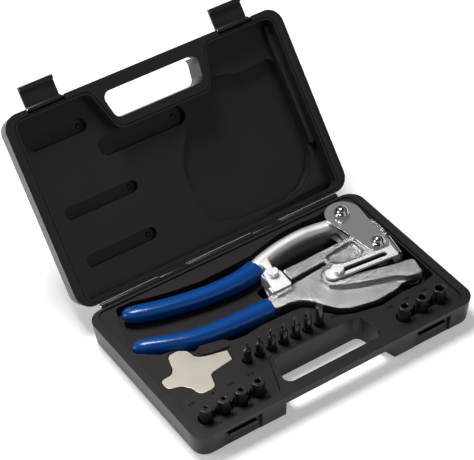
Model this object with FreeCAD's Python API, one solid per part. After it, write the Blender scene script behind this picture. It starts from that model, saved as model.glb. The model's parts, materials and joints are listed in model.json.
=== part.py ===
import FreeCAD, Part
import math
import os

os.makedirs("parts", exist_ok=True)

V = FreeCAD.Vector

# ---- case: overall sizes -------------------------------------------------
CASE_L = 290.0        # along X
CASE_D = 181.0        # along Y, hinge side at +Y
BASE_H = 26.0         # floor to rim
LID_H = 25.0
CORNER_R = 15.0
WALL_DRAFT = 3.0      # inset of the far face of each shell
SKIN = 2.4            # outer skin
FAR_RADIUS = 4.0      # rounding of the far face's edge
LID_GAP = 0.2         # rim to rim when shut
OPEN_DEG = 129.0      # lid opening

# rim widths: the insert outline stands inside the shell by these
RIM_SIDE = 9.0
RIM_FRONT = 6.0
RIM_BACK = 3.0
INSERT_GAP = 0.5
LEDGE = 2.0

# carry handle opening, base and lid
HOLE_BASE = [(95, 12), (198, 12), (192, 43), (103.5, 43)]
HOLE_LID = [(95, 12.5), (196, 12.5), (192, 38), (101, 38)]
NOTCH = [(86, RIM_FRONT), (100.5, 46.6), (195, 46.6), (207, RIM_FRONT)]
BAR_Z = 17.5          # underside of the carry bar

# hinge
HINGE_Y = CASE_D + 3.2
HINGE_Z = BASE_H - 1.3
KNUCKLE_R = 3.1
HINGE_PIN_R = 1.3
RUN_FIT = 0.06        # radial clearance of a turning or sliding fit

# latches
LATCH_X = (28.0, 225.5)
LATCH_W = 33.5
LATCH_T = 2.4
LATCH_LEN = 21.5
LATCH_SIDE = 2.0
LATCH_DEPTH = 4.5
LATCH_LIP = 4.0        # height of the hooked lip
LATCH_BITE = 1.9       # how far the lip reaches in past the rim
LATCH_GAP = 0.3        # shut flap to rim
PIVOT_Y = 1.5
PIVOT_Z = BASE_H + 4.5
LATCH_PIN_R = 1.2
LATCH_KNUCKLE_R = 2.6

# inserts
TRAY_TOP = BASE_H - 1.5
SHEET = 2.0           # moulded sheet
CUP = 1.5             # wall of a moulded pocket
HEAD_FLOOR = 6.2      # floor of the tool head pocket
GRIP_FLOOR = 16.7     # floor under the two grips
KEY_FLOOR = 21.8
PANEL_DEPTH = 14.0    # lid panel below the lid rim
LID_POCKET = 21.4     # deep lid pockets
SLIM_POCKET = 20.0

# tool
TOOL_Z = 25.0         # mid plane of the tool
INNER_T = 7.5         # half gap between the side plates
PLATE_T = 2.5
BODY_T = 9.0          # half thickness of the frame's flange
WEB_T = 5.6           # half thickness of its body
PIVOT_1 = (254.0, 151.0)
PIVOT_2 = (256.5, 99.5)
BOLT_R = 4.5
PUNCH_AXIS = (259.0, 49.5)     # foot of the punching line on the jaw front
PUNCH_TILT = 12.0              # punching line leans this much from +Y to +X
RAM_R = 6.0
RAM_FROM = 35.5                # along the punching line
RAM_TO = 59.5
GAUGE_TILT = -6.3
GAUGE_LEN = 70.0
GAUGE_W = 13.0
GAUGE_T = 2.2
BRACKET_BOLT = (157.5, 121.5)
SQUEEZE_DEG = 4.0

# punches and dies, sizes in 1/32 inch steps
SIZES = [25.4 * n / 32.0 for n in (3, 4, 5, 6, 7, 8, 9)]
PUNCH_R = 3.57
PUNCH_LEN = 28.5
PUNCH_FLOOR = 17.5
PUNCH_Y = 55.5
PUNCH_X0 = 85.5
PUNCH_STEP = 12.5
PUNCH_FIT = 1.2
DIE_R = 5.85
DIE_H = 20.0
DIE_FLOOR = 18.0
DIE_FIT = 1.7
DIE_COUNTER = 12.0    # depth of the relief under the cutting hole
DIE_CHANNEL = 8.0
DIE_SPOTS = [(21.0, 19.8), (38.1, 19.8), (55.2, 19.8), (72.3, 19.8),
             (225.0, 19.8), (243.8, 19.8), (263.0, 19.8)]


# ---- helpers -------------------------------------------------------------
def corner_wire(points, radius, z):
    """Closed outline through points with every corner rounded."""
    radii = radius if isinstance(radius, (list, tuple)) else [radius] * len(points)
    pts = [V(p[0], p[1], z) for p in points]
    n = len(pts)
    cuts = []
    for i in range(n):
        a, b, c = pts[i - 1], pts[i], pts[(i + 1) % n]
        u = (a - b).normalize()
        w = (c - b).normalize()
        half = math.acos(max(-1.0, min(1.0, u.dot(w)))) / 2.0
        room = 0.49 * min((a - b).Length, (c - b).Length)
        back = min(radii[i] / math.tan(half), room) if half < 1.55 else 0.0
        if back < 1e-3:
            cuts.append((b, b, b))
            continue
        r = back * math.tan(half)
        mid_dir = (u + w).normalize()
        centre = b + mid_dir * (r / math.sin(half))
        cuts.append((b + u * back, centre - mid_dir * r, b + w * back))
    edges = []
    for i in range(n):
        p, m, q = cuts[i]
        if (p - q).Length > 1e-6:
            edges.append(Part.Arc(p, m, q).toShape())
        nxt = cuts[(i + 1) % n][0]
        if (q - nxt).Length > 1e-6:
            edges.append(Part.makeLine(q, nxt))
    return Part.Wire(edges)


def prism(points, radius, z0, z1, grow=0.0):
    wire = corner_wire(points, radius, z0)
    face = Part.Face(wire)
    if abs(grow) > 1e-9:
        face = Part.Face(face.makeOffset2D(grow).Wires[0])
    return face.extrude(V(0, 0, z1 - z0))


def box(x0, x1, y0, y1, z0, z1):
    return Part.makeBox(x1 - x0, y1 - y0, z1 - z0, V(x0, y0, z0))


def disc(x, y, r, z0, z1):
    return Part.makeCylinder(r, z1 - z0, V(x, y, z0))


def cone(x, y, r0, r1, z0, z1):
    return Part.makeCone(r0, r1, z1 - z0, V(x, y, z0))


def rod(p, q, r):
    p, q = V(*p), V(*q)
    return Part.makeCylinder(r, (q - p).Length, p, q - p)


def rect(x0, x1, y0, y1):
    return [(x0, y0), (x1, y0), (x1, y1), (x0, y1)]


def union(shapes):
    shape = shapes[0]
    return (shape.multiFuse(shapes[1:]) if len(shapes) > 1 else shape).removeSplitter()


def cut(shape, tools):
    for tool in tools:
        shape = shape.cut(tool)
    return shape


def save(name, shape):
    """Write one node, with the origin moved to the middle of the base's underside."""
    shape.translate(V(-CASE_L / 2.0, -CASE_D / 2.0, 0))
    shape.exportStep("parts/%s.step" % name)


def along(t, side=0.0):
    """Point on the punching line, t mm up from the jaw front, side mm to its right."""
    a = math.radians(PUNCH_TILT)
    d = (math.sin(a), math.cos(a))
    return (PUNCH_AXIS[0] + d[0] * t + d[1] * side, PUNCH_AXIS[1] + d[1] * t - d[0] * side)


# ---- case ----------------------------------------------------------------
def insert_outline(grow=0.0):
    g = grow
    pts = [(RIM_SIDE, RIM_FRONT), NOTCH[0], NOTCH[1], NOTCH[2], NOTCH[3],
           (CASE_L - RIM_SIDE, RIM_FRONT), (CASE_L - RIM_SIDE, CASE_D - RIM_BACK),
           (RIM_SIDE, CASE_D - RIM_BACK)]
    radii = [10, 9, 9, 9, 9, 10, 8, 8]
    return pts, radii, g


def insert_prism(z0, z1, grow=0.0):
    pts, radii, g = insert_outline(grow)
    return prism(pts, radii, z0, z1, g)


def shell_outer(z_rim, z_far):
    d = WALL_DRAFT
    rim = corner_wire(rect(0, CASE_L, 0, CASE_D), CORNER_R, z_rim)
    far = corner_wire(rect(d, CASE_L - d, d, CASE_D - d), CORNER_R - d, z_far)
    shell = Part.makeLoft([rim, far], True, True)
    rounded = [e for e in shell.Edges if e.BoundBox.ZLength < 1e-6
               and abs(e.BoundBox.ZMin - z_far) < 1e-6]
    return shell.makeFillet(FAR_RADIUS, rounded)


def hinge_knuckles(spans, z0, z1):
    out = []
    for x0, x1 in spans:
        barrel = rod((x0, HINGE_Y, HINGE_Z), (x1, HINGE_Y, HINGE_Z), KNUCKLE_R)
        out.append(barrel.fuse(box(x0, x1, CASE_D - 2.0, HINGE_Y, z0, z1)))
    return out


def hinge_bore():
    return rod((0, HINGE_Y, HINGE_Z), (CASE_L, HINGE_Y, HINGE_Z), HINGE_PIN_R + RUN_FIT)


BASE_SPANS = [(18.0, 78.0), (108.5, 178.0), (208.5, 272.0)]
LID_SPANS = [(78.5, 108.0), (178.5, 208.0)]


def base_shell():
    shell = shell_outer(BASE_H, 0.0)
    low = prism(rect(WALL_DRAFT + SKIN, CASE_L - WALL_DRAFT - SKIN,
                     LATCH_DEPTH + SKIN, CASE_D - WALL_DRAFT - SKIN),
                10, SKIN, BASE_H - 7.0)
    hole_wall = prism(HOLE_BASE, 7, 0, BASE_H, 3.0)
    front_wall = box(78, 212, -1, 46, 0, BASE_H).common(
        prism([(80, -1), (99, 46), (198, 46), (212, -1)], 6, 0, BASE_H))
    shell = cut(shell, [low.cut(front_wall.fuse(hole_wall)),
                        insert_prism(BASE_H - 7.5, BASE_H + 1, -LEDGE),
                        insert_prism(TRAY_TOP - SHEET, BASE_H + 1, INSERT_GAP)])
    under_bar = prism([(86, -5), (91.5, 15), (201, 15), (206, -5)], 2, -1, BAR_Z)
    tools = [prism(HOLE_BASE, 7, -1, BASE_H + 1), under_bar]
    for x in LATCH_X:
        tools.append(box(x - LATCH_SIDE, x + LATCH_W + LATCH_SIDE, -1, LATCH_DEPTH, -1, BASE_H - 5))
    shell = cut(shell, tools + [c.common(insert_prism(0, TRAY_TOP, 2.0))
                                for c in tray_pockets(CUP + 0.3, CUP + 0.3)[:2]])
    adds = [shell]
    for x in LATCH_X:
        catch = PIVOT_Z - LATCH_LEN + LATCH_LIP + LATCH_GAP
        adds.append(box(x + 3, x + LATCH_W - 3, LATCH_BITE - 1.0, LATCH_DEPTH + 0.5,
                        catch, catch + 2.2))
    adds += hinge_knuckles(BASE_SPANS, HINGE_Z - KNUCKLE_R, HINGE_Z)
    shell = union(adds)
    relief = [box(a - 0.25, b + 0.25, CASE_D, HINGE_Y + 4, HINGE_Z - 4, HINGE_Z + 4)
              for a, b in LID_SPANS]
    return cut(shell, relief + [hinge_bore()])


TOOL_POCKET = [(27, 175.5), (43, 175), (60, 170), (78, 165.5), (106, 161.5), (138, 162),
               (161, 163.5), (180, 168.5), (200, 172.5), (224, 173.5), (240, 172), (254, 174),
               (270, 174), (279.3, 166), (279.3, 47), (262, 44.5), (242, 45.5), (218, 42.5),
               (192, 48.5), (180.5, 54.5), (172, 65), (167, 75), (160, 81), (150, 82.5),
               (119.6, 83.5),
               (100, 81), (88, 83), (72, 91), (62, 93), (54, 90), (50, 95), (40, 102),
               (29.4, 104), (11, 119), (11, 126)]
HEAD_POCKET = [(139, 84.5), (150, 82.5), (160, 81), (167, 75), (172, 65), (180.5, 54.5),
               (192, 48.5), (218, 42.5), (242, 45.5), (262, 44.5), (279.3, 47), (279.3, 166),
               (270, 174), (254, 174), (240, 172), (224, 173.5), (200, 172.5), (180, 168.5),
               (163, 164),
               (163, 132), (143, 128), (143, 113)]
PAD = [(55.5, 89.5), (61.5, 92.6), (70, 90.4), (81, 87.8), (85.5, 83.5), (82, 77.5), (66, 79.5), (56.5, 83.5)]
PAD_H = 1.4
KEY_OUT = [(31.0, 92.8), (33.5, 99.6), (43.5, 100.2), (50.5, 95.0), (52.0, 84.5), (60.0, 81.0),
           (78.5, 76.0), (76.0, 64.5), (51.6, 61.0), (47.0, 45.2), (31.6, 45.2), (30.0, 55.0),
           (24.0, 63.0), (12.6, 66.5), (12.2, 78.0), (24.5, 79.0), (28.5, 84.0)]
KEY_R = [7, 5, 5, 7, 7, 6, 1.2, 1.2, 6, 6.5, 6.5, 8, 8, 4.5, 4.5, 6, 8]


def tray_pockets(grow, extra):
    """Pocket volumes of the tray; extra lowers every floor."""
    top = TRAY_TOP + (1.0 if grow == 0 else 0.0)
    out = [prism(TOOL_POCKET, 5, GRIP_FLOOR - extra, top, grow),
           prism(HEAD_POCKET, 5, HEAD_FLOOR - extra, top, grow),
           prism(KEY_OUT, KEY_R, KEY_FLOOR - extra, top, grow + 0.7)]
    for x, y in DIE_SPOTS:
        out.append(disc(x, y, DIE_R + DIE_FIT + grow, DIE_FLOOR - extra, top))
    for row in (DIE_SPOTS[:4], DIE_SPOTS[4:]):
        half = DIE_CHANNEL / 2.0 + grow
        out.append(box(row[0][0], row[-1][0], row[0][1] - half, row[0][1] + half,
                       DIE_FLOOR - extra, top))
    for i in range(len(SIZES)):
        out.append(disc(PUNCH_X0 + i * PUNCH_STEP, PUNCH_Y, PUNCH_R + PUNCH_FIT + grow,
                        PUNCH_FLOOR - extra, top))
    return out


def tool_tray():
    plate = insert_prism(TRAY_TOP - SHEET, TRAY_TOP)
    cups = [c.common(insert_prism(0, TRAY_TOP, -0.05)) for c in tray_pockets(CUP, CUP)]
    cups = [c.cut(insert_prism(0, TRAY_TOP - SHEET, 0).cut(
        insert_prism(0, TRAY_TOP - SHEET, -LEDGE - 0.3))) for c in cups]
    pad = prism(PAD, 2.5, TRAY_TOP - 0.5, TRAY_TOP + PAD_H)
    body = union([plate, pad] + cups)
    return cut(body, tray_pockets(0, 0)).removeSplitter()


LID_BLOB = [(202, 38), (213, 38.5), (234, 44), (252, 43.5), (272.5, 41), (272.5, 128),
            (270, 140), (263, 153), (250, 164), (232, 169), (184, 168), (153, 158),
            (145.5, 136), (146.5, 105), (154, 88), (173, 62)]


def lid_pocket(x0, x1, y0, y1):
    return rect(x0, x1, y0, y1), (y1 - y0) / 2.0 - 0.3


def lid_pockets(grow, extra):
    z0 = BASE_H + LID_GAP + PANEL_DEPTH - (2.0 if grow == 0 else 0.0)
    deep = BASE_H + LID_GAP + LID_POCKET + extra
    slim = BASE_H + LID_GAP + SLIM_POCKET + extra
    out = [prism(LID_BLOB, 14, z0, deep, grow)]
    pts, r = lid_pocket(79, 169.2, 48.3, 66.0)
    out.append(prism(pts, r, z0, deep, grow))
    for x0, x1, y0, y1 in ((19, 77, 25.5, 37.5), (26, 100, 93.8, 105.4), (27, 99.5, 139.5, 151.0)):
        pts, r = lid_pocket(x0, x1, y0, y1)
        out.append(prism(pts, r, z0, slim, grow))
    return out


def to_open(shape):
    shape.rotate(V(0, HINGE_Y, HINGE_Z), V(1, 0, 0), -OPEN_DEG)
    return shape


def lid_shell():
    z0 = BASE_H + LID_GAP
    z1 = z0 + LID_H
    shell = shell_outer(z0, z1)
    hollow = insert_prism(z0 - 1, z1 - 2.0, INSERT_GAP)
    wall = prism(HOLE_LID, 7, z0, z1, 3.0)
    tools = [hollow.cut(wall), prism(HOLE_LID, 7, z0 - 1, z1 + 1)]
    for x in LATCH_X:
        tools.append(box(x - LATCH_SIDE, x + LATCH_W + LATCH_SIDE, -1, 4.8, z0 - 1, z0 + 8.2))
        tools.append(rod((x - 4, PIVOT_Y, PIVOT_Z), (x + LATCH_W + 4, PIVOT_Y, PIVOT_Z),
                         LATCH_PIN_R))
    over_bar = prism([(86, -5), (91.5, 15), (201, 15), (206, -5)], 2, z0 + 9.0, z1 + 1)
    shell = cut(shell, tools + [over_bar])
    shell = union([shell] + hinge_knuckles(LID_SPANS, z0, HINGE_Z + KNUCKLE_R))
    relief = [box(a - 0.25, b + 0.25, CASE_D, HINGE_Y + 4, HINGE_Z - 4, z0 + 1.8)
              for a, b in BASE_SPANS]
    return to_open(cut(shell, relief + [hinge_bore()]))


def lid_liner():
    z0 = BASE_H + LID_GAP
    panel = z0 + PANEL_DEPTH
    pts, radii, _ = insert_outline()
    outer = insert_prism(z0 + 0.4, panel + SHEET)
    inner = prism(pts, radii, z0 - 1, panel, -1.8)
    cups = [c.common(insert_prism(z0, z0 + 60, -0.2)) for c in lid_pockets(CUP, 1.4)]
    body = union([outer.cut(inner)] + cups)
    return to_open(cut(body, lid_pockets(0, 0)).removeSplitter())


def latch(x):
    end = PIVOT_Y - LATCH_LEN
    low = PIVOT_Z + PIVOT_Y + LATCH_GAP
    flap = box(x, x + LATCH_W, end, -LATCH_GAP, low, low + LATCH_T)
    lip = box(x, x + LATCH_W, end, end + LATCH_LIP, low - LATCH_GAP - LATCH_BITE, low + LATCH_T)
    tip = [e for e in lip.Edges if e.BoundBox.XLength > 1 and e.BoundBox.YMax < end + 0.01]
    lip = lip.makeFillet(1.2, tip)
    root = box(x, x + LATCH_W, PIVOT_Y - LATCH_KNUCKLE_R, PIVOT_Y - 0.6, PIVOT_Z, low + LATCH_T - 0.4)
    barrel = rod((x, PIVOT_Y, PIVOT_Z), (x + LATCH_W, PIVOT_Y, PIVOT_Z), LATCH_KNUCKLE_R)
    bore = rod((x - 1, PIVOT_Y, PIVOT_Z), (x + LATCH_W + 1, PIVOT_Y, PIVOT_Z),
               LATCH_PIN_R + RUN_FIT)
    return to_open(union([flap, lip, root, barrel]).cut(bore))


def latch_pins():
    pins = [rod((x - 4, PIVOT_Y, PIVOT_Z), (x + LATCH_W + 4, PIVOT_Y, PIVOT_Z), LATCH_PIN_R)
            for x in LATCH_X]
    return to_open(Part.makeCompound(pins))


def hinge_pin():
    return rod((BASE_SPANS[0][0] - 0.8, HINGE_Y, HINGE_Z),
               (BASE_SPANS[-1][1] + 0.8, HINGE_Y, HINGE_Z), HINGE_PIN_R)


# ---- tool ----------------------------------------------------------------
def slab(points, radius, half, lift=0.0):
    """Plan outline, half mm to each side of the tool mid plane."""
    return prism(points, radius, TOOL_Z - half + lift, TOOL_Z + half + lift)


def puck(p, r, half):
    return disc(p[0], p[1], r, TOOL_Z - half, TOOL_Z + half)


def hull(p, rp, q, rq, half):
    """Tangent hull of two round ends."""
    a, b = V(p[0], p[1], 0), V(q[0], q[1], 0)
    d = (b - a).Length
    u = (b - a).normalize()
    n = V(-u.y, u.x, 0)
    s = (rp - rq) / d
    c = math.sqrt(1 - s * s)
    up, dn = u * s + n * c, u * s - n * c
    pts = [a + up * rp, a + dn * rp, b + dn * rq, b + up * rq]
    core = Part.Face(Part.makePolygon([V(v.x, v.y, TOOL_Z - half) for v in pts + pts[:1]]))
    return union([core.extrude(V(0, 0, 2 * half)), puck(p, rp, half), puck(q, rq, half)])


def stations_between(stations, steps):
    """Stations eased in between the given ones along a smooth line."""
    n = len(stations)
    out = []
    for i in range(n - 1):
        p0, p1 = stations[max(i - 1, 0)], stations[i]
        p2, p3 = stations[i + 1], stations[min(i + 2, n - 1)]
        count = 1 if i == 0 else steps
        for k in range(count):
            f = k / float(count)
            row = []
            for j in range(4):
                a, b, c, d = p0[j], p1[j], p2[j], p3[j]
                row.append(0.5 * (2 * b + (c - a) * f + (2 * a - 5 * b + 4 * c - d) * f ** 2
                                  + (3 * b - a - 3 * c + d) * f ** 3))
            out.append(tuple(row))
    return out + [stations[-1]]


def bar(stations):
    """Smooth bar through stations of (x, y, width, thickness), oval section."""
    wires = []
    stations = stations_between(stations, 3)
    n = len(stations)
    for i, (x, y, w, t) in enumerate(stations):
        a, b = stations[max(i - 1, 0)], stations[min(i + 1, n - 1)]
        run = V(b[0] - a[0], b[1] - a[1], 0).normalize()
        side = V(-run.y, run.x, 0)
        pts = []
        for k in range(16):
            f = 2 * math.pi * k / 16
            c, s = math.cos(f), math.sin(f)
            c = math.copysign(abs(c) ** 0.85, c)
            s = math.copysign(abs(s) ** 0.85, s)
            pts.append(V(x, y, TOOL_Z) + side * (c * w / 2) + V(0, 0, s * t / 2))
        curve = Part.BSplineCurve()
        curve.interpolate(pts, PeriodicFlag=True)
        wires.append(Part.Wire([curve.toShape()]))
    return Part.makeLoft(wires, True, False)


LOWER_GRIP = [(13.6, 124.6, 4, 4), (15.6, 123.6, 9.5, 8.5), (20, 121.6, 13.5, 12),
              (28, 117.6, 15.5, 14), (42, 110.8, 16.2, 15), (62, 103.2, 17, 15.5),
              (88, 98.8, 18, 16), (114, 97.2, 19, 16), (137.5, 96.2, 19.6, 16)]
UPPER_GRIP = [(27.0, 163.8, 4, 4), (28.8, 162.9, 10, 9), (33, 160.9, 14.6, 12.5),
              (41, 157.2, 17, 14.5), (60, 150.6, 17.4, 15), (94, 143.2, 17.2, 15.5),
              (122, 140.6, 17.8, 16), (142, 141.8, 19, 16), (154.5, 145.2, 19.6, 16)]
LOWER_TANG = [(22, 120.6, 8, 7), (28, 117.6, 9, 8), (42, 110.8, 9.5, 8.5), (62, 103.2, 10, 9),
              (88, 98.8, 10.5, 9.5), (114, 97.2, 11.5, 10), (137.5, 96.2, 13, 11.6),
              (144, 96.3, 14, 12.2)]
ARM = [(36, 159.5, 8, 7), (60, 150.6, 9.5, 8.5), (94, 143.2, 10, 9.5), (122, 140.6, 11, 10),
       (142, 141.8, 12.5, 11.5), (154.5, 145.2, 15, 13.5), (165, 149.0, 15, 14.0),
       (182, 153.2, 14.6, 14.0), (197, 155.4, 14.2, 14.0), (212, 156.2, 14, 14.0),
       (226, 155.2, 14, 13.0), (237, 153.4, 14, 12.5), (252, 151.4, 13.5, 12.5)]

BODY = [(139, 88.5), (152, 87.5), (162, 84), (170, 76), (176, 67), (185, 57), (194, 52),
        (218, 47), (240, 48.8), along(0, -12), along(0, 8.5), along(20, 8.5), along(20, -10),
        (240, 75), (226, 78.5), (214.5, 84.5), (211.5, 91), (214, 98.5), (209, 112.5),
        (205, 108.6), (168, 105.6), (164.5, 107.8), (147.5, 107.8), (147.5, 104.6), (139, 104.4)]
BODY_R = [2, 8, 8, 12, 12, 8, 10, 12, 6, 2, 2, 2.5, 2.5, 8, 10, 7, 7, 4, 2, 1, 1.5, 1, 1, 1, 1]
FLANGE = [(193, 98), (189, 91), (191, 82), (198, 77), (212, 70), (231, 62.8), (247, 57.5),
          along(0.5, -7), along(0, 8.5), along(20, 8.5), along(20, -10), (240, 75),
          (226, 78.5), (214.5, 84.5), (211.5, 91), (214, 98.5), (211, 106), (203, 106)]
SPINE = [(168.5, 109.6), (168.5, 123.6), (236, 124.6), (243.8, 124.6), (246.8, 118.5),
         (246.8, 92), (240, 92.5), (236, 98), (214, 98.5), (206, 111.6)]
WEB_CUT = [(217.5, 101), (208.5, 116), (231, 118.5), (242.5, 121.0), (243, 101)]


def punch_rod(r, t0, t1):
    a, b = along(t0), along(t1)
    return rod((a[0], a[1], TOOL_Z), (b[0], b[1], TOOL_Z), r)


def frame_casting():
    cheek = slab([(246, 91.5), (256, 90.8), along(42, -3), along(55, -3), (262, 107),
                  (250, 108), (246, 108)], 1.5, INNER_T)
    hub_room = puck(PIVOT_2, 8.6, 5.15).fuse(
        slab([(250, 98), (300, 96), (300, 140), (250, 140)], 1, 5.15))
    seat = slab([(148, 98), (164.5, 98), (164.5, 107.8), (148, 107.8)], 1, INNER_T)
    tang = bar(LOWER_TANG)
    head = union([slab(BODY, BODY_R, WEB_T), slab(FLANGE, 3, BODY_T), slab(SPINE, 1.5, 7.2),
                  cheek, seat, puck(GAUGE_SCREW, 6.5, GAUGE_BOSS)])
    for lift in (10.0, -10.0):
        head = head.cut(slab(WEB_CUT, 4, 6.5, lift))
    head = union([head, tang])
    bores = [hub_room, puck(PIVOT_2, BOLT_R, 30), punch_rod(RAM_R + RUN_FIT, 34, 80),
             punch_rod(DIE_R + RUN_FIT, 9, 21), punch_rod(4.6, -2, 10),
             puck(GAUGE_SCREW, SCREW_R + RUN_FIT, 30), bracket_solid()]
    return cut(head, bores)


GAUGE_SCREW = (204.0, 88.5)
SCREW_R = 2.5
GAUGE_BOSS = 10.3
GAUGE_Z = TOOL_Z + GAUGE_BOSS + 0.05


def gauge_frame(shape):
    shape.rotate(V(0, 0, 0), V(0, 0, 1), GAUGE_TILT)
    shape.translate(V(GAUGE_SCREW[0], GAUGE_SCREW[1], 0))
    return shape


def gauge_bar():
    half = GAUGE_W / 2.0
    left, right = -11.5, GAUGE_LEN - 11.5
    z0, z1 = GAUGE_Z, GAUGE_Z + GAUGE_T
    plate = prism([(left, -half), (right, -half), (right, half), (left, half)],
                  [half - 0.4, 1.5, 1.5, half - 0.4], z0, z1)
    fence = prism([(right - 2.2, -5.2), (right, -5.2), (right, 0.6), (right - 2.2, 0.6)],
                  0.5, TOOL_Z + 1.5, z1)
    slot_r = SCREW_R + 0.3
    slot = prism([(-slot_r, -slot_r), (50.0, -slot_r), (50.0, slot_r), (-slot_r, slot_r)],
                 slot_r - 0.05, z0 - 1, z1 + 1)
    return gauge_frame(union([plate, fence]).cut(slot))


def slotted_head(x, y, r, z0, z1, slot_w, turn):
    head = disc(x, y, r, z0, z1)
    rim = head.Edges
    top = [e for e in rim if abs(e.BoundBox.ZMin - z1) < 1e-6 and e.BoundBox.ZLength < 1e-6]
    head = head.makeFillet(0.6, top)
    groove = Part.makeBox(4 * r, slot_w, 2.0, V(-2 * r, -slot_w / 2, z1 - 1.6))
    groove.rotate(V(0, 0, 0), V(0, 0, 1), turn)
    groove.translate(V(x, y, 0))
    return head.cut(groove)


def gauge_screw():
    x, y = GAUGE_SCREW
    z1 = GAUGE_Z + GAUGE_T
    head = slotted_head(x, y, 5.6, z1 + 0.05, z1 + 4.6, 1.6, 64)
    return union([head, disc(x, y, SCREW_R, TOOL_Z - BODY_T + 1, z1 + 1)])


def side_plate(side):
    z0 = INNER_T if side > 0 else -INNER_T - PLATE_T
    mid = z0 + PLATE_T / 2.0
    plate = hull((255.5, 151.0), 17.0, PIVOT_2, 10.0, PLATE_T / 2.0)
    plate.translate(V(0, 0, mid))
    for p in (PIVOT_1, PIVOT_2):
        plate = plate.cut(puck(p, BOLT_R, 30))
    return plate


def pivot_bolt(p):
    half = INNER_T + PLATE_T + 3.2
    return puck(p, BOLT_R, half)


def hexagon(x, y, across, z0, z1, turn=0.0):
    r = across / math.sqrt(3.0)
    pts = [V(x + r * math.cos(math.radians(turn + 60 * k)),
             y + r * math.sin(math.radians(turn + 60 * k)), z0) for k in range(7)]
    return Part.Face(Part.makePolygon(pts)).extrude(V(0, 0, z1 - z0))


def acorn_nut(p, side):
    x, y = p
    base = hexagon(x, y, 13.6, 0, 4.4, 12)
    base = base.common(cone(x, y, 8.6, 6.4, 0, 4.4).fuse(disc(x, y, 7.6, 0, 3.2)))
    dome = Part.makeSphere(6.4, V(x, y, 2.1)).common(disc(x, y, 7, 2, 9))
    nut = base.fuse(dome).cut(disc(x, y, BOLT_R, -1, 3.25)).removeSplitter()
    if side < 0:
        nut = nut.mirror(V(0, 0, 0), V(0, 0, 1))
    nut.translate(V(0, 0, TOOL_Z + side * (INNER_T + PLATE_T)))
    return nut


def acorn_nuts():
    return Part.makeCompound([acorn_nut(p, s) for p in (PIVOT_1, PIVOT_2) for s in (1, -1)])


HEEL = (250.3, 127.5)
HEEL_R = 5.2


def rocker():
    hub = puck(PIVOT_2, 6.45, 5.0)
    link = slab([(250.5, 99), (259.5, 101), (261.0, 110), (264, 118), (257, 118)], 1.5, 5.0)
    face = HEEL[0] + HEEL_R + 0.35
    nose = slab([(face, 111.5), (face, 126), (264, 136), (271.5, 136), (275.4, 130),
                 (275.4, 113), along(64, -2), (262.5, 111.5)], [1, 1.5, 4, 3, 3, 2, 1, 1], 7.0)
    toe = along(62.8, 0)
    shape = union([hub, link, nose, puck(toe, 3.0, 6.0)])
    return shape.cut(puck(PIVOT_2, BOLT_R + RUN_FIT, 30))


def ram():
    body = punch_rod(RAM_R, RAM_FROM, RAM_TO)
    return body.cut(punch_rod(PUNCH_R + RUN_FIT, RAM_FROM - 1, RAM_FROM + 14))


def upper_handle():
    eye = puck(PIVOT_1, 10.0, 6.2)
    heel = hull(PIVOT_1, 8.5, HEEL, HEEL_R, 6.0)
    lug = slab([(159.2, 147), (159.2, 134.6), (150.5, 130.5), (150.5, 116.2), (152.5, 115),
                (162.5, 115), (164.6, 117), (164.6, 130), (169, 146)],
               [2, 1.5, 2, 1, 1, 1, 1, 6, 2], 6.3)
    shape = union([bar(ARM), eye, heel, lug])
    x, y = BRACKET_BOLT
    turn = math.radians(SQUEEZE_DEG)
    away = V(x - PIVOT_1[0], y - PIVOT_1[1], 0)
    end = (x + away.y * turn, y - away.x * turn)
    slot = hull((x, y), BRACKET_BOLT_R + 0.4, end, BRACKET_BOLT_R + 0.4001, 20)
    return cut(shape, [puck(PIVOT_1, BOLT_R + RUN_FIT, 30), slot])


BRACKET_BOLT_R = 3.2
BRACKET_T = 2.0
BRACKET = [(145.6, 102.5), (164.5, 102.5), (166.0, 122.5), (152.0, 129.5)]


def bracket_solid():
    plates = []
    for lift in (1, -1):
        p = slab(BRACKET, 2.0, BRACKET_T / 2.0, lift * (INNER_T + BRACKET_T / 2.0))
        plates.append(p)
    web = box(145.5, 147.5, 104.6, 111, TOOL_Z - INNER_T - 0.01, TOOL_Z + INNER_T + 0.01)
    return union(plates + [web])


def handle_bracket():
    return bracket_solid().cut(puck(BRACKET_BOLT, BRACKET_BOLT_R, 30))


def bracket_bolt():
    x, y = BRACKET_BOLT
    top = TOOL_Z + INNER_T + BRACKET_T
    head = slotted_head(x, y, 5.2, top, top + 5.0, 1.6, 58)
    return union([head, disc(x, y, BRACKET_BOLT_R, TOOL_Z - INNER_T - BRACKET_T - 4.4, top + 1)])


def bracket_nut():
    x, y = BRACKET_BOLT
    low = TOOL_Z - INNER_T - BRACKET_T
    return hexagon(x, y, 10.0, low - 4.0, low).cut(puck(BRACKET_BOLT, BRACKET_BOLT_R, 30))


def grip(stations, inner):
    return bar(stations).cut(bar(inner))


# ---- key, punches and dies ----------------------------------------------
def die_key():
    shape = prism(KEY_OUT, KEY_R, KEY_FLOOR, KEY_FLOOR + 2.4)
    top = [e for e in shape.Edges if abs(e.BoundBox.ZMin - KEY_FLOOR - 2.4) < 1e-6]
    return shape.makeFillet(0.3, top)


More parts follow.
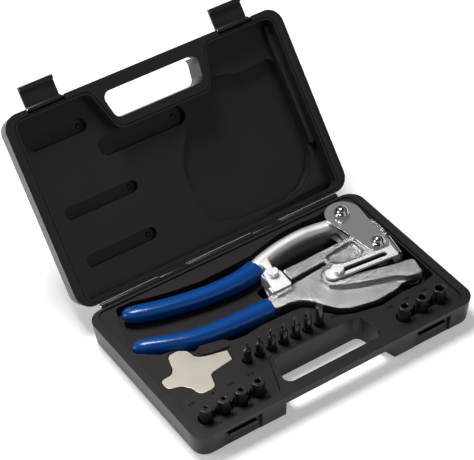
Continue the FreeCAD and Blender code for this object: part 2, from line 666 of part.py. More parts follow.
def punch(i):
    x = PUNCH_X0 + i * PUNCH_STEP
    r = SIZES[i] / 2.0
    z0, z1 = PUNCH_FLOOR, PUNCH_FLOOR + PUNCH_LEN
    if i == len(SIZES) - 1:
        blank = disc(x, PUNCH_Y, r, z0, z1)
        top = [e for e in blank.Edges if abs(e.BoundBox.ZMin - z1) < 1e-6]
        return blank.makeFillet(0.8, top)
    neck = max(r - 0.45, 0.8)
    parts = [disc(x, PUNCH_Y, PUNCH_R, z0, z1 - 8.0),
             cone(x, PUNCH_Y, PUNCH_R, max(neck + 0.5, 1.4), z1 - 8.0, z1 - 5.6),
             disc(x, PUNCH_Y, neck, z1 - 6.4, z1 - 2.2),
             disc(x, PUNCH_Y, r, z1 - 2.6, z1),
             cone(x, PUNCH_Y, min(0.7, r * 0.5), 0.0, z1, z1 + 0.8)]
    shape = union(parts)
    foot = box(x - PUNCH_R, x + PUNCH_R, PUNCH_Y + PUNCH_R - 0.9, PUNCH_Y + PUNCH_R,
               z0, z0 + 5.0)
    return shape.cut(foot)


def die(i):
    x, y = DIE_SPOTS[i]
    r = SIZES[i] / 2.0 + 0.1
    z1 = DIE_FLOOR + DIE_H
    shape = disc(x, y, DIE_R, DIE_FLOOR, z1)
    rims = [e for e in shape.Edges if e.BoundBox.ZLength < 1e-6]
    shape = shape.makeFillet(0.5, rims)
    shape = shape.cut(disc(x, y, r, DIE_FLOOR - 1, z1 + 1))
    shape = shape.cut(cone(x, y, r, r + 0.6, z1 - 0.6, z1 + 0.001))
    shape = shape.cut(disc(x, y, r + 0.7, DIE_FLOOR - 1, DIE_FLOOR + DIE_COUNTER))
    notch = disc(x + DIE_R + 1.6, y, 2.6, DIE_FLOOR + 3.0, DIE_FLOOR + 7.0)
    return shape.cut(notch)


# ---- build ---------------------------------------------------------------
def build():
    save("base_shell", base_shell())
    save("tool_tray", tool_tray())
    save("lid_shell", lid_shell())
    save("lid_liner", lid_liner())
    save("hinge_pin", hinge_pin())
    save("latch_left", latch(LATCH_X[0]))
    save("latch_right", latch(LATCH_X[1]))
    save("latch_pins", latch_pins())
    save("frame_casting", frame_casting())
    save("lower_grip", grip(LOWER_GRIP, LOWER_TANG))
    save("upper_handle", upper_handle())
    save("upper_grip", grip(UPPER_GRIP, ARM))
    save("side_plate_top", side_plate(1))
    save("side_plate_bottom", side_plate(-1))
    save("handle_bolt", pivot_bolt(PIVOT_1))
    save("rocker_bolt", pivot_bolt(PIVOT_2))
    save("acorn_nuts", acorn_nuts())
    save("rocker", rocker())
    save("ram", ram())
    save("gauge_bar", gauge_bar())
    save("gauge_screw", gauge_screw())
    save("handle_bracket", handle_bracket())
    save("bracket_bolt", bracket_bolt())
    save("bracket_nut", bracket_nut())
    save("die_key", die_key())
    for i in range(len(SIZES)):
        save("punch_%d" % (i + 1), punch(i))
        save("die_%d" % (i + 1), die(i))


build()
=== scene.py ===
"""Hand hole punch kit in its moulded case: finishes and fine details over the CAD model."""

import json
import math

import bmesh
import bpy
from bpy.props import FloatProperty, FloatVectorProperty, IntProperty, PointerProperty
from mathutils import Matrix, Vector, noise

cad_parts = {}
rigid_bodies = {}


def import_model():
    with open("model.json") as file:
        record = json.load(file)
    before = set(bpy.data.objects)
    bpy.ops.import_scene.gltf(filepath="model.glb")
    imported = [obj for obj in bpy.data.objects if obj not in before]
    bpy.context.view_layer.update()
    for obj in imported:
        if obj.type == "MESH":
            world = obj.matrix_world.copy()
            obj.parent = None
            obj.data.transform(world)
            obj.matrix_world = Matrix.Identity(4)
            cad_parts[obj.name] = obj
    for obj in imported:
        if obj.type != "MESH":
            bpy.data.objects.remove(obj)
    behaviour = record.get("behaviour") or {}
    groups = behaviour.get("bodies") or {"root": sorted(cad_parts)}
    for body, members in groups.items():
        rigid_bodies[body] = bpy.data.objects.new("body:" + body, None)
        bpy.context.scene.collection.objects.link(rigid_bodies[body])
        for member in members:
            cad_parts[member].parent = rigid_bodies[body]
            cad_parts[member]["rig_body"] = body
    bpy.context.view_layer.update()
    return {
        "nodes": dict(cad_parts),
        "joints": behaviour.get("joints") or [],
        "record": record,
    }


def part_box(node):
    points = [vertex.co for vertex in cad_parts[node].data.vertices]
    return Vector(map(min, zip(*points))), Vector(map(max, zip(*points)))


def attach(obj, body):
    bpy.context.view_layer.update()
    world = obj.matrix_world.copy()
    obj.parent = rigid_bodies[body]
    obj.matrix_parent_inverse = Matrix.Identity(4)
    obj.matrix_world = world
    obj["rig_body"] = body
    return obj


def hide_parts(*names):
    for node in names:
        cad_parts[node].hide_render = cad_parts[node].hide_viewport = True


bl_info = {
    "name": "Hole Punch Kit Details",
    "version": (1, 0, 0),
    "blender": (4, 5, 0),
    "location": "3D View > Sidebar > Punch Kit",
    "description": "Finishes and fine details of a hole punch kit in its moulded case",
    "category": "Object",
}

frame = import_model()
JOINTS = {joint["name"]: joint for joint in frame["joints"]}

# the case base's front left corner, from the middle of its underside
CORNER = Vector((-0.145, -0.0905, 0.0))
LID_HINGE = Vector(JOINTS["lid_hinge"]["pos_m"])
LID_OPEN = (Matrix.Translation(LID_HINGE)
            @ Matrix.Rotation(math.radians(JOINTS["lid_hinge"]["range_deg"][0]), 4, "X")
            @ Matrix.Translation(-LID_HINGE))


# points closer than this, in metres, are one point
MERGE = 0.00001

# parts whose finish differs from the one that their slot names
OWN_FINISH = {"gauge_bar": "satin_nickel", "handle_bracket": "satin_nickel",
              "bracket_bolt": "satin_nickel", "gauge_screw": "satin_nickel",
              "acorn_nuts": "domed_nickel"}

# lamps: name, place, point aimed at, size, power, tint
LAMPS = (("top_light", (-0.15, 0.75, 2.0), (0, 0, 0.03), 0.7, 34.0, (1.0, 0.995, 0.98)),
         ("left_light", (-1.9, 0.7, 0.9), (0, 0, 0.05), 0.9, 12.0, (0.98, 0.99, 1.0)),
         ("front_light", (0.5, -1.9, 0.8), (0, 0, 0.02), 1.2, 2.5, (1.0, 1.0, 1.0)))

# grey of the surroundings by height, from straight down at 0 to straight up at 1
SURROUNDINGS = ((0.0, 0.5), (0.49, 0.3), (0.55, 0.03), (0.70, 0.05), (0.79, 0.42), (0.86, 0.36),
                (0.93, 0.07), (1.0, 0.05))

# camera: place in metres, then azimuth, height and roll in degrees, then focal length in mm
CAMERA_PLACE = (-0.65429, -0.98014, 1.15185)
CAMERA_ANGLES = (-32.0, 41.28, -2.74)
CAMERA_LENS = 142.19

# heights above the case's underside in mm: lid panel, tops of the dimples, figures on the tray
LID_PANEL = 40.2
SLIM_FLOOR = 46.2
WIDE_FLOOR = 47.6
FIGURES = 24.6

# lid ledges, shut: outline in mm, and how far the ledge stands out of the panel
LID_LEDGES = (
    (((272.6, 14.0), (279.3, 14.0), (279.3, 130.0), (272.6, 130.0)), 6.5),
    (((271.4, 131.6), (279.3, 131.6), (279.3, 172.0), (206.0, 172.0), (234.0, 170.6),
      (250.8, 165.6), (264.2, 154.0), (270.6, 141.0)), 2.0))
LID_DIMPLES = ((71.0, 31.5, SLIM_FLOOR), (94.0, 99.6, SLIM_FLOOR), (93.2, 145.2, SLIM_FLOOR),
               (160.0, 57.2, WIDE_FLOOR))
GATE_MARK = (211.0, 17.0)

# size marks: figure, and its middle in mm right of and behind the base's corner
SIZE_MARKS = (("3/32", 20.0, 40.5), ("2.4", 27.0, 9.6), ("1/8", 39.5, 40.5), ("3.2", 42.0, 9.6),
              ("5/32", 58.5, 40.5), ("4.0", 59.0, 9.6), ("3/16", 78.5, 40.5), ("4.8", 76.0, 9.6),
              ("7/32", 222.0, 36.5), ("1/4", 240.5, 36.5), ("9/32", 259.5, 36.5),
              ("9/32", 176.0, 56.0))

# gauge scale in metres: first line's distance from the screw, length of the scale, half its width
SCALE_START = 0.003
SCALE_LENGTH = 0.0508
SCALE_HALF = 0.0061


# ---- small helpers ---------------------------------------------------------
def place(x, y, z):
    """A point in metres, from millimetres right of, behind and above the base's corner."""
    return CORNER + Vector((x, y, z)) * 0.001


def settings():
    return bpy.context.scene.punch_kit


def piece(name, bm, material, body, smooth=30.0):
    """A finished bmesh as an object that rides on a body."""
    bmesh.ops.recalc_face_normals(bm, faces=bm.faces)
    mesh = bpy.data.meshes.new(name)
    bm.to_mesh(mesh)
    bm.free()
    mesh.materials.append(bpy.data.materials[material])
    obj = bpy.data.objects.new(name, mesh)
    bpy.context.scene.collection.objects.link(obj)
    if smooth:
        mesh.shade_smooth()
        mesh.set_sharp_from_angle(angle=math.radians(smooth))
    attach(obj, body)
    return obj


def raise_outline(bm, points, height):
    """Face through points, raised by a vector into a closed solid."""
    face = bm.faces.new([bm.verts.new(p) for p in points])
    grown = bmesh.ops.extrude_face_region(bm, geom=[face], use_keep_orig=True)
    top = [v for v in grown["geom"] if isinstance(v, bmesh.types.BMVert)]
    bmesh.ops.translate(bm, verts=top, vec=height)
    return top


def soft_edges(bm, width, segments=2, angle=30.0):
    """Rounds every edge sharper than the angle."""
    sharp = [e for e in bm.edges if e.is_manifold and e.calc_face_angle(0.0) > math.radians(angle)]
    bmesh.ops.bevel(bm, geom=sharp, offset=width, offset_type="OFFSET", segments=segments,
                    profile=0.5, affect="EDGES", material=-1)


# ---- shared effects and finishes -------------------------------------------
def group_with(name, inputs, outputs):
    """An empty shader group with its sockets, or None if it's there already."""
    if name in bpy.data.node_groups:
        return None
    group = bpy.data.node_groups.new(name, "ShaderNodeTree")
    for label, kind, default in inputs:
        socket = group.interface.new_socket(label, in_out="INPUT", socket_type=kind)
        if default is not None:
            socket.default_value = default
    for label, kind in outputs:
        group.interface.new_socket(label, in_out="OUTPUT", socket_type=kind)
    group.nodes.new("NodeGroupInput").name = "in"
    group.nodes.new("NodeGroupOutput").name = "out"
    return group


def add(tree, kind, **values):
    """A node with its properties and unlinked inputs set; sockets are named with _ for spaces."""
    node = tree.nodes.new(kind)
    for key, value in values.items():
        if hasattr(node, key):
            setattr(node, key, value)
        else:
            node.inputs[key.replace("_", " ")].default_value = value
    return node


FINISH_INPUTS = [("Vector", "NodeSocketVector", None), ("Light", "NodeSocketColor", (1, 1, 1, 1)),
                 ("Dark", "NodeSocketColor", (0, 0, 0, 1)), ("Scale", "NodeSocketFloat", 100.0),
                 ("Smooth", "NodeSocketFloat", 0.2), ("Rough", "NodeSocketFloat", 0.5),
                 ("Depth", "NodeSocketFloat", 0.1)]
FINISH_OUTPUTS = [("Color", "NodeSocketColor"), ("Roughness", "NodeSocketFloat"),
                  ("Normal", "NodeSocketVector")]


def wire_finish(group, fine, broad, bump_distance):
    """Mixes colour and roughness by the broad mask and bumps the surface by the fine one."""
    nodes, link = group.nodes, group.links.new
    source, sink = nodes["in"], nodes["out"]
    colour = add(group, "ShaderNodeMix", data_type="RGBA")
    link(broad, colour.inputs["Factor"])
    link(source.outputs["Dark"], colour.inputs[6])
    link(source.outputs["Light"], colour.inputs[7])
    link(colour.outputs[2], sink.inputs["Color"])
    rough = add(group, "ShaderNodeMix", data_type="FLOAT")
    link(broad, rough.inputs["Factor"])
    link(source.outputs["Rough"], rough.inputs[2])
    link(source.outputs["Smooth"], rough.inputs[3])
    link(rough.outputs[0], sink.inputs["Roughness"])
    bump = add(group, "ShaderNodeBump", Distance=bump_distance)
    link(source.outputs["Depth"], bump.inputs["Strength"])
    link(fine, bump.inputs["Height"])
    link(bump.outputs["Normal"], sink.inputs["Normal"])


def grain_group():
    """Fine spark-eroded grain of a moulding, with faint cloudy patches."""
    group = group_with("Moulded Grain", FINISH_INPUTS, FINISH_OUTPUTS)
    if not group:
        return
    source, link = group.nodes["in"], group.links.new
    fine = add(group, "ShaderNodeTexNoise", Detail=3.0, Roughness=0.6)
    link(source.outputs["Vector"], fine.inputs["Vector"])
    link(source.outputs["Scale"], fine.inputs["Scale"])
    broad = add(group, "ShaderNodeTexNoise", Scale=28.0, Detail=4.0, Roughness=0.65)
    link(source.outputs["Vector"], broad.inputs["Vector"])
    wire_finish(group, fine.outputs["Fac"], broad.outputs["Fac"], 0.0004)


def casting_group():
    """Lumpy skin of a plated casting: shallow dimples with small pits between."""
    group = group_with("Cast Skin", FINISH_INPUTS, FINISH_OUTPUTS)
    if not group:
        return
    source, link = group.nodes["in"], group.links.new
    lumps = add(group, "ShaderNodeTexNoise", Detail=5.0, Roughness=0.7, Distortion=0.6)
    link(source.outputs["Vector"], lumps.inputs["Vector"])
    link(source.outputs["Scale"], lumps.inputs["Scale"])
    pits = add(group, "ShaderNodeTexVoronoi", Scale=900.0, Randomness=1.0)
    link(source.outputs["Vector"], pits.inputs["Vector"])
    dents = add(group, "ShaderNodeMapRange", From_Min=0.0, From_Max=0.35)
    link(pits.outputs["Distance"], dents.inputs["Value"])
    height = add(group, "ShaderNodeMath", operation="MULTIPLY_ADD")
    height.inputs[1].default_value = 0.35
    link(dents.outputs["Result"], height.inputs[0])
    link(lumps.outputs["Fac"], height.inputs[2])
    wire_finish(group, height.outputs["Value"], lumps.outputs["Fac"], 0.0006)


def polish_group():
    """Buffed plate: long hairlines and cloudy handling marks."""
    group = group_with("Buffed Plate", FINISH_INPUTS, FINISH_OUTPUTS)
    if not group:
        return
    source, link = group.nodes["in"], group.links.new
    stretch = add(group, "ShaderNodeMapping", Scale=(1.0, 14.0, 3.0))
    link(source.outputs["Vector"], stretch.inputs["Vector"])
    hair = add(group, "ShaderNodeTexNoise", Detail=2.0, Roughness=0.5)
    link(stretch.outputs["Vector"], hair.inputs["Vector"])
    link(source.outputs["Scale"], hair.inputs["Scale"])
    cloud = add(group, "ShaderNodeTexNoise", Scale=60.0, Detail=3.0, Roughness=0.6)
    link(source.outputs["Vector"], cloud.inputs["Vector"])
    wire_finish(group, hair.outputs["Fac"], cloud.outputs["Fac"], 0.0002)


def dip_group():
    """Dipped coat: slow ripples of thick vinyl under a glossy skin."""
    group = group_with("Dipped Coat", FINISH_INPUTS, FINISH_OUTPUTS)
    if not group:
        return
    source, link = group.nodes["in"], group.links.new
    ripple = add(group, "ShaderNodeTexNoise", Detail=1.5, Roughness=0.4)
    link(source.outputs["Vector"], ripple.inputs["Vector"])
    link(source.outputs["Scale"], ripple.inputs["Scale"])
    shade = add(group, "ShaderNodeTexNoise", Scale=35.0, Detail=2.0, Roughness=0.5)
    link(source.outputs["Vector"], shade.inputs["Vector"])
    wire_finish(group, ripple.outputs["Fac"], shade.outputs["Fac"], 0.0005)


def finish(name, group, light, dark, scale, smooth, rough, depth, **shader):
    """Material whose colour, roughness and relief come from a shared effect."""
    material = bpy.data.materials.get(name) or bpy.data.materials.new(name)
    material.use_nodes = True
    tree = material.node_tree
    tree.nodes.clear()
    out = add(tree, "ShaderNodeOutputMaterial")
    surface = add(tree, "ShaderNodeBsdfPrincipled")
    for key, value in shader.items():
        surface.inputs[key.replace("_", " ")].default_value = value
    effect = add(tree, "ShaderNodeGroup", node_tree=bpy.data.node_groups[group])
    for key, value in (("Light", (*light, 1.0)), ("Dark", (*dark, 1.0)), ("Scale", scale),
                       ("Smooth", smooth), ("Rough", rough), ("Depth", depth)):
        effect.inputs[key].default_value = value
    where = add(tree, "ShaderNodeTexCoord")
    tree.links.new(where.outputs["Object"], effect.inputs["Vector"])
    tree.links.new(effect.outputs["Color"], surface.inputs["Base Color"])
    tree.links.new(effect.outputs["Roughness"], surface.inputs["Roughness"])
    tree.links.new(effect.outputs["Normal"], surface.inputs["Normal"])
    tree.links.new(surface.outputs["BSDF"], out.inputs["Surface"])
    material.diffuse_color = (*light, 1.0)
    return material


def scaled(colour, factor):
    return tuple(c * factor for c in colour)


# ---- user values -----------------------------------------------------------
class PunchKitSettings(bpy.types.PropertyGroup):
    case_colour: FloatVectorProperty(
        name="Case", description="Colour of the moulded case", subtype="COLOR",
        size=3, min=0.0, max=1.0, default=(0.0205, 0.0178, 0.0195))
    insert_colour: FloatVectorProperty(
        name="Inserts", description="Colour of the tray and the lid liner", subtype="COLOR",
        size=3, min=0.0, max=1.0, default=(0.0225, 0.0192, 0.0215))
    grip_colour: FloatVectorProperty(
        name="Grips", description="Colour of the dipped grips", subtype="COLOR",
        size=3, min=0.0, max=1.0, default=(0.0005, 0.064, 0.300))
    nickel_colour: FloatVectorProperty(
        name="Nickel", description="Colour of the plated parts", subtype="COLOR",
        size=3, min=0.0, max=1.0, default=(0.86, 0.86, 0.87))
    key_colour: FloatVectorProperty(
        name="Key", description="Colour of the flat key", subtype="COLOR",
        size=3, min=0.0, max=1.0, default=(0.80, 0.75, 0.64))
    oxide_colour: FloatVectorProperty(
        name="Black oxide", description="Colour of the punches and dies", subtype="COLOR",
        size=3, min=0.0, max=1.0, default=(0.030, 0.027, 0.029))
    mould_radius: FloatProperty(
        name="Moulded edge", description="Radius along the edges of the mouldings",
        subtype="DISTANCE", unit="LENGTH", min=0.0, max=0.002, default=0.0006)
    metal_radius: FloatProperty(
        name="Metal edge", description="Radius along the edges of the metal parts",
        subtype="DISTANCE", unit="LENGTH", min=0.0, max=0.001, default=0.0003)
    mark_height: FloatProperty(
        name="Size mark", description="Height of a raised size mark's figures",
        subtype="DISTANCE", unit="LENGTH", min=0.001, max=0.006, default=0.0036)
    cast_grid: FloatProperty(
        name="Cast grid", description="Spacing of the points that carry the cast skin",
        subtype="DISTANCE", unit="LENGTH", min=0.0004, max=0.003, default=0.0008)
    cast_depth: FloatProperty(
        name="Cast depth", description="Depth of the lumps and pits of the cast skin",
        subtype="DISTANCE", unit="LENGTH", min=0.0, max=0.001, default=0.00027)
    scale_lines: IntProperty(
        name="Scale lines", description="Lines of the gauge's scale", min=2, max=40, default=17)


# ---- stage -----------------------------------------------------------------
class STAGE_OT_studio(bpy.types.Operator):
    """Pale floor, soft lights and the camera"""
    bl_idname = "punch_kit.stage"
    bl_label = "Stage"

    def execute(self, context):
        scene = context.scene
        bm = bmesh.new()
        bmesh.ops.create_grid(bm, x_segments=1, y_segments=1, size=6.0)
        mesh = bpy.data.meshes.new("floor")
        bm.to_mesh(mesh)
        bm.free()
        floor = bpy.data.objects.new("floor", mesh)
        scene.collection.objects.link(floor)
        paper = bpy.data.materials.new("pale_floor")
        paper.use_nodes = True
        surface = paper.node_tree.nodes["Principled BSDF"]
        surface.inputs["Base Color"].default_value = (0.93, 0.93, 0.93, 1.0)
        surface.inputs["Roughness"].default_value = 0.9
        surface.inputs["Specular IOR Level"].default_value = 0.1
        surface.inputs["Emission Color"].default_value = (1.0, 1.0, 1.0, 1.0)
        surface.inputs["Emission Strength"].default_value = 0.35
        mesh.materials.append(paper)

        for name, spot, aim, size, power, tint in LAMPS:
            lamp = bpy.data.lights.new(name, "AREA")
            lamp.shape = "SQUARE"
            lamp.size = size
            lamp.energy = power
            lamp.color = tint
            obj = bpy.data.objects.new(name, lamp)
            obj.location = spot
            obj.rotation_euler = (Vector(spot) - Vector(aim)).to_track_quat("Z", "Y").to_euler()
            scene.collection.objects.link(obj)

        world = bpy.data.worlds.new("studio")
        world.use_nodes = True
        tree = world.node_tree
        back = tree.nodes["Background"]
        where = add(tree, "ShaderNodeTexCoord")
        split = add(tree, "ShaderNodeSeparateXYZ")
        ramp = add(tree, "ShaderNodeValToRGB")
        ramp.color_ramp.elements.remove(ramp.color_ramp.elements[1])
        for at, grey in SURROUNDINGS:
            stop = ramp.color_ramp.elements.new(at)
            stop.color = (grey, grey, grey * 1.02, 1.0)
        raised = add(tree, "ShaderNodeMapRange", From_Min=-1.0, From_Max=1.0)
        tree.links.new(where.outputs["Generated"], split.inputs["Vector"])
        tree.links.new(split.outputs["Z"], raised.inputs["Value"])
        tree.links.new(raised.outputs["Result"], ramp.inputs["Fac"])
        tree.links.new(ramp.outputs["Color"], back.inputs["Color"])
        back.inputs["Strength"].default_value = 0.6
        scene.world = world

        azimuth, height, roll = (math.radians(a) for a in CAMERA_ANGLES)
        behind = Vector((math.sin(azimuth) * math.cos(height),
                         -math.cos(azimuth) * math.cos(height), math.sin(height)))
        right = Vector((math.cos(azimuth), math.sin(azimuth), 0.0))
        up = behind.cross(right)
        right, up = (right * math.cos(roll) + up * math.sin(roll),
                     up * math.cos(roll) - right * math.sin(roll))
        turn = Matrix((right, up, behind)).transposed().to_4x4()
        lens = bpy.data.cameras.new("camera")
        lens.sensor_width = 36.0
        lens.lens = CAMERA_LENS
        camera = bpy.data.objects.new("camera", lens)
        camera.matrix_world = Matrix.Translation(CAMERA_PLACE) @ turn
        scene.collection.objects.link(camera)
        scene.camera = camera
        scene.view_settings.view_transform = "Standard"
        return {"FINISHED"}


# ---- finishes of the CAD parts ---------------------------------------------
class FINISH_OT_parts(bpy.types.Operator):
    """Finishes of all parts, and softened edges on mouldings and metal"""
    bl_idname = "punch_kit.finishes"
    bl_label = "Finishes"

    def execute(self, context):
        look = settings()
        for build in (grain_group, casting_group, polish_group, dip_group):
            build()
        case, insert = tuple(look.case_colour), tuple(look.insert_colour)
        nickel, oxide = tuple(look.nickel_colour), tuple(look.oxide_colour)
        blue, key = tuple(look.grip_colour), tuple(look.key_colour)
        finish("case_black", "Moulded Grain", scaled(case, 1.1), scaled(case, 0.85),
               scale=2600.0, smooth=0.28, rough=0.42, depth=0.16, Specular_IOR_Level=0.30)
        finish("insert_black", "Moulded Grain", scaled(insert, 1.1), scaled(insert, 0.85),
               scale=2200.0, smooth=0.26, rough=0.38, depth=0.14, Specular_IOR_Level=0.30)
        finish("cast_nickel", "Cast Skin", scaled(nickel, 0.66), scaled(nickel, 0.36),
               scale=620.0, smooth=0.20, rough=0.28, depth=0.9, Metallic=1.0)
        finish("satin_nickel", "Cast Skin", scaled(nickel, 1.14), scaled(nickel, 1.1),
               scale=700.0, smooth=0.46, rough=0.56, depth=0.22, Metallic=1.0)
        finish("polished_nickel", "Buffed Plate", scaled(nickel, 1.05), scaled(nickel, 0.95),
               scale=420.0, smooth=0.16, rough=0.26, depth=0.05, Metallic=1.0)
        finish("bright_steel", "Buffed Plate", scaled(nickel, 0.86), scaled(nickel, 0.74),
               scale=700.0, smooth=0.22, rough=0.32, depth=0.08, Metallic=1.0)
        finish("key_nickel", "Buffed Plate", scaled(key, 0.86), scaled(key, 0.78),
               scale=500.0, smooth=0.30, rough=0.42, depth=0.06, Metallic=0.85)
        finish("black_oxide", "Buffed Plate", scaled(oxide, 1.2), scaled(oxide, 0.7),
               scale=600.0, smooth=0.16, rough=0.30, depth=0.10, Metallic=0.3, Specular_IOR_Level=0.9)
        finish("domed_nickel", "Buffed Plate", scaled(nickel, 0.85), scaled(nickel, 0.7),
               scale=420.0, smooth=0.05, rough=0.10, depth=0.03, Metallic=1.0)
        # size mark figures: the tray's own moulding, painted near-black as painted shade standing in
        # for the shadow in the moulded figures
        finish("mark_painted_shade", "Moulded Grain", scaled(insert, 0.18), scaled(insert, 0.12),
               scale=2200.0, smooth=0.40, rough=0.50, depth=0.05, Specular_IOR_Level=0.1)
        finish("blue_vinyl", "Dipped Coat", scaled(blue, 1.08), scaled(blue, 0.92),
               scale=60.0, smooth=0.20, rough=0.28, depth=0.5, Coat_Weight=0.3, Coat_Roughness=0.08,
               Specular_IOR_Level=0.3)
        slots = {part["node"]: part["material_slot"] for part in frame["record"]["subparts"]}
        moulded = ("case_black", "insert_black")
        for node, obj in frame["nodes"].items():
            material = bpy.data.materials[OWN_FINISH.get(node, slots[node])]
            obj.data.materials.clear()
            obj.data.materials.append(material)
            if slots[node] == "blue_vinyl":
                continue
            weld = obj.modifiers.new("weld", "WELD")
            weld.merge_threshold = MERGE
            flats = obj.modifiers.new("flats", "DECIMATE")
            flats.decimate_type = "DISSOLVE"
            flats.angle_limit = math.radians(0.3)
            bevel = obj.modifiers.new("edge", "BEVEL")
            bevel.width = look.mould_radius if slots[node] in moulded else look.metal_radius
            bevel.segments = 2
            bevel.limit_method = "ANGLE"
            bevel.angle_limit = math.radians(34.0)
            bevel.harden_normals = True
        return {"FINISHED"}


# ---- rounded copies of CAD parts -------------------------------------------
def remeshed(source, name, voxel, rounds):
    """A merged copy of a CAD mesh, rebuilt on an even grid and eased."""
    bm = bmesh.new()
    bm.from_mesh(source.data)
    bmesh.ops.remove_doubles(bm, verts=bm.verts, dist=MERGE)
    mesh = bpy.data.meshes.new(name)
    bm.to_mesh(mesh)
    bm.free()
    blank = bpy.data.objects.new(name + "_blank", mesh)
    bpy.context.scene.collection.objects.link(blank)
    grid = blank.modifiers.new("grid", "REMESH")
    grid.mode = "VOXEL"
    grid.voxel_size = voxel
    ease = blank.modifiers.new("ease", "SMOOTH")
    ease.factor = 0.5
    ease.iterations = rounds
    ready = bpy.data.meshes.new_from_object(
        blank.evaluated_get(bpy.context.evaluated_depsgraph_get()))
    bpy.data.objects.remove(blank)
    bm = bmesh.new()
    bm.from_mesh(ready)
    return bm


def soften(bm, low, high, passes):
    """Smooths the points between two corners, seen from above."""
    inside = [v for v in bm.verts if low.x < v.co.x < high.x and low.y < v.co.y < high.y]
    for _ in range(passes):
        bmesh.ops.smooth_vert(bm, verts=inside, factor=0.5, use_axis_x=True,
                              use_axis_y=True, use_axis_z=True)


def thin_towards_edge(bm, centre, reach, share, half):
    """Domes both faces in front of a centre; share is the part of the thickness lost at the reach."""
    for vert in bm.verts:
        rise = vert.co.z - centre.z
        if vert.co.y < centre.y and abs(rise) < half:
            away = min((vert.co.xy - centre.xy).length / reach, 1.0)
            vert.co.z = centre.z + rise * (1.0 - share * away * away)


def pit_skin(bm, depth):
    """Sinks lumps and pits into the surface, about as deep as depth."""
    bm.normal_update()
    for vert in bm.verts:
        lump = noise.fractal(vert.co * 640.0, 1.0, 2.1, 3)
        pit = max(0.0, 0.45 - noise.voronoi(vert.co * 520.0)[0][0])
        sink = depth * (0.5 - 0.8 * lump) + depth * 0.9 * pit
        vert.co -= vert.normal * min(max(sink, 0.0), depth * 1.5)


def rounded(node, name, voxel, rounds, depth=0.0, material="cast_nickel",
            soft=None, dome=None):
    """Replaces a CAD part by a copy with the soft edges of a casting or a dipped coat."""
    source = frame["nodes"][node]
    bm = remeshed(source, name, voxel, rounds)
    if soft:
        soften(bm, *soft)
    if dome:
        thin_towards_edge(bm, *dome)
    if depth:
        pit_skin(bm, depth)
    obj = piece(name, bm, material, source["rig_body"], smooth=180.0)
    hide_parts(node)


class CASTING_OT_skins(bpy.types.Operator):
    """Sand-cast skins of the frame and the rocker"""
    bl_idname = "punch_kit.castings"
    bl_label = "Castings"

    def execute(self, context):
        look = settings()
        rounded("frame_casting", "cast_frame", look.cast_grid, 4, look.cast_depth,
                soft=(place(146, 70, 0), place(224, 86, 0), 12),
                dome=(place(168, 98, 25), 0.042, 0.42, 0.0062))
        rounded("rocker", "cast_rocker", look.cast_grid * 0.75, 3, look.cast_depth * 0.6)
        rounded("upper_handle", "cast_handle", look.cast_grid * 0.8, 6, look.cast_depth * 0.25,
                material="satin_nickel")
        return {"FINISHED"}


# ---- case details ----------------------------------------------------------
def lid_piece(name, bm, material="insert_black"):
    """A piece laid out on the shut lid, swung open with it."""
    bmesh.ops.transform(bm, matrix=LID_OPEN, verts=bm.verts)
    return piece(name, bm, material, "case_lid")


class LID_OT_details(bpy.types.Operator):
    """Ledges, knock-out dimples and the gate mark of the lid liner"""
    bl_idname = "punch_kit.lid"
    bl_label = "Lid Details"

    def execute(self, context):
        bm = bmesh.new()
        for outline, rise in LID_LEDGES:
            raise_outline(bm, [place(x, y, LID_PANEL + 0.3) for x, y in outline],
                          Vector((0, 0, -0.001 * (rise + 0.3))))
        soft_edges(bm, 0.0008)
        lid_piece("lid_ledges", bm)

        bm = bmesh.new()
        for x, y, floor in LID_DIMPLES:
            made = bmesh.ops.create_uvsphere(bm, u_segments=28, v_segments=14, radius=0.0027)
            bmesh.ops.scale(bm, verts=made["verts"], vec=(1.0, 1.0, 0.36))
            bmesh.ops.translate(bm, verts=made["verts"], vec=place(x, y, floor))
        lid_piece("lid_dimples", bm)

        bm = bmesh.new()
        button = bmesh.ops.create_cone(bm, cap_ends=True, segments=24, radius1=0.0010,
                                       radius2=0.0007, depth=0.0004)
        bmesh.ops.translate(bm, verts=button["verts"], vec=place(*GATE_MARK, LID_PANEL - 0.1))
        lid_piece("lid_gate_mark", bm, "black_oxide")
        return {"FINISHED"}


def lettering(words, height, rise):
    """Raised figures as one bmesh; words are (text, place)."""
    bm = bmesh.new()
    for text, spot in words:
        curve = bpy.data.curves.new("figures", "FONT")
        curve.body = text
        curve.size = height
        curve.extrude = rise / 2.0
        curve.align_x = curve.align_y = "CENTER"
        obj = bpy.data.objects.new("figures", curve)
        bpy.context.scene.collection.objects.link(obj)
        depsgraph = bpy.context.evaluated_depsgraph_get()
        mesh = bpy.data.meshes.new_from_object(obj.evaluated_get(depsgraph))
        mesh.transform(Matrix.Translation(spot))
        bm.from_mesh(mesh)
        bpy.data.objects.remove(obj)
        bpy.data.curves.remove(curve)
        bpy.data.meshes.remove(mesh)
    return bm


class TRAY_OT_details(bpy.types.Operator):
    """Raised size marks beside the dies and the punches"""
    bl_idname = "punch_kit.tray"
    bl_label = "Tray Details"

    def execute(self, context):
        look = settings()
        words = [(text, place(x, y, FIGURES)) for text, x, y in SIZE_MARKS]
        # the figures carry the near-black painted shade finish, not a print colour of their own
        piece("size_marks", lettering(words, look.mark_height, 0.0005), "mark_painted_shade",
              "case_base")
        return {"FINISHED"}


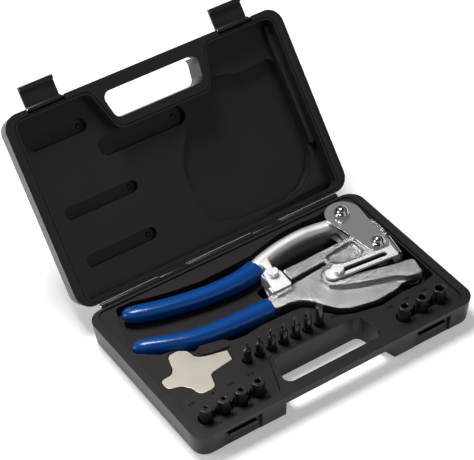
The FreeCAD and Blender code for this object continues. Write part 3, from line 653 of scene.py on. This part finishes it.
# ---- tool details ----------------------------------------------------------
class GAUGE_OT_scale(bpy.types.Operator):
    """Scale lines along both margins of the slotted gauge bar"""
    bl_idname = "punch_kit.gauge"
    bl_label = "Gauge Scale"

    def execute(self, context):
        look = settings()
        screw = Vector(JOINTS["clamp_screw_turn"]["pos_m"])
        run = Vector(JOINTS["gauge_slide"]["axis"])
        across = Vector((-run.y, run.x, 0.0))
        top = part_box("gauge_bar")[1][2]
        turn = Matrix.Rotation(math.atan2(run.y, run.x), 4, "Z")
        bm = bmesh.new()
        for i in range(look.scale_lines):
            along = SCALE_START + SCALE_LENGTH * i / (look.scale_lines - 1)
            tall = 0.0021 if i % 4 == 0 else 0.0013
            for side in (-1.0, 1.0):
                spot = screw + run * along + across * (side * (SCALE_HALF - tall / 2.0))
                spot.z = top
                bmesh.ops.create_cube(
                    bm, size=1.0, matrix=Matrix.Translation(spot) @ turn
                    @ Matrix.Diagonal((0.00028, tall, 0.00006, 1.0)))
        piece("gauge_scale", bm, "black_oxide", "gauge", smooth=0)
        return {"FINISHED"}


class GRIP_OT_dipped(bpy.types.Operator):
    """Dipped grips with rolled mouths"""
    bl_idname = "punch_kit.grips"
    bl_label = "Grips"

    def execute(self, context):
        for node in ("lower_grip", "upper_grip"):
            rounded(node, "dipped_" + node, 0.0007, 4, material="blue_vinyl")
        return {"FINISHED"}


# ---- panel and registration ------------------------------------------------
STEPS = (FINISH_OT_parts, CASTING_OT_skins, GRIP_OT_dipped, LID_OT_details, TRAY_OT_details,
         GAUGE_OT_scale, STAGE_OT_studio)


class PUNCH_PT_kit(bpy.types.Panel):
    bl_idname = "PUNCH_PT_kit"
    bl_label = "Punch Kit"
    bl_space_type = "VIEW_3D"
    bl_region_type = "UI"
    bl_category = "Punch Kit"

    def draw(self, context):
        look = context.scene.punch_kit
        for name in look.bl_rna.properties.keys():
            if name not in ("rna_type", "name"):
                self.layout.prop(look, name)
        for step in STEPS:
            self.layout.operator(step.bl_idname)


CLASSES = (PunchKitSettings, *STEPS, PUNCH_PT_kit)


def register():
    for cls in CLASSES:
        bpy.utils.register_class(cls)
    bpy.types.Scene.punch_kit = PointerProperty(type=PunchKitSettings)


def unregister():
    del bpy.types.Scene.punch_kit
    for cls in reversed(CLASSES):
        bpy.utils.unregister_class(cls)


def main():
    """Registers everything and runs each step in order."""
    register()
    for step in STEPS:
        area, _, action = step.bl_idname.partition(".")
        getattr(getattr(bpy.ops, area), action)()
    bpy.context.view_layer.update()


if __name__ == "__main__":
    main()
